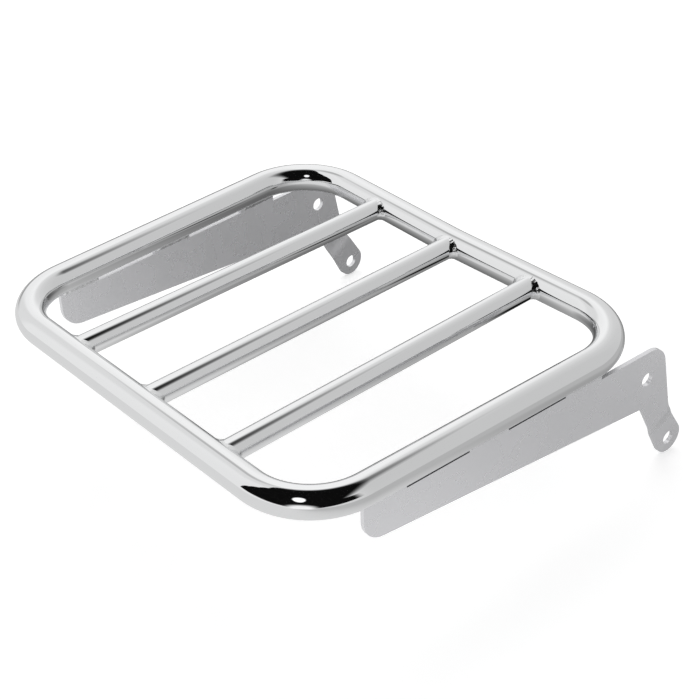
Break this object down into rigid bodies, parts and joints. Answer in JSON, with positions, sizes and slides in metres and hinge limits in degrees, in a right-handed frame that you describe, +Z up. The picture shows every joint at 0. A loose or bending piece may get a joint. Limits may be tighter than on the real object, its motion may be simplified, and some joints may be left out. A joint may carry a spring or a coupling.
{
  "type": "motorcycle luggage rack",
  "caption": "Chromed luggage rack for a motorcycle tail: a bent tube loop with lengthwise bars, on side plates with stepped ears that bolt to the frame.",
  "frame": {"origin": "middle of the rack's outline, at the height of the ears' lowest points", "axes": "+X to the rider's right, +Y towards the front of the motorcycle, +Z up; the loop lies level"},
  "size_m": [0.3392, 0.3344, 0.1235],
  "materials": {
    "chrome_tube": "bright chrome plate on polished steel tube",
    "chrome_plate": "bright chrome plate on flat steel sheet",
    "chrome_weld": "chrome plate over uneven weld bead"
  },
  "bodies": {
    "root": {"loop_tube": "chrome_tube", "bar_left": "chrome_tube", "bar_centre": "chrome_tube", "bar_right": "chrome_tube", "side_plate_left": "chrome_plate", "side_plate_right": "chrome_plate", "bar_weld_left_rear": "chrome_weld", "bar_weld_left_front": "chrome_weld", "bar_weld_centre_rear": "chrome_weld", "bar_weld_centre_front": "chrome_weld", "bar_weld_right_rear": "chrome_weld", "bar_weld_right_front": "chrome_weld", "stitch_left_rear_inner": "chrome_weld", "stitch_left_rear_outer": "chrome_weld", "stitch_left_middle_inner": "chrome_weld", "stitch_left_middle_outer": "chrome_weld", "stitch_left_front_inner": "chrome_weld", "stitch_left_front_outer": "chrome_weld", "stitch_right_rear_inner": "chrome_weld", "stitch_right_rear_outer": "chrome_weld", "stitch_right_middle_inner": "chrome_weld", "stitch_right_middle_outer": "chrome_weld", "stitch_right_front_inner": "chrome_weld", "stitch_right_front_outer": "chrome_weld"}
  },
  "joints": []
}
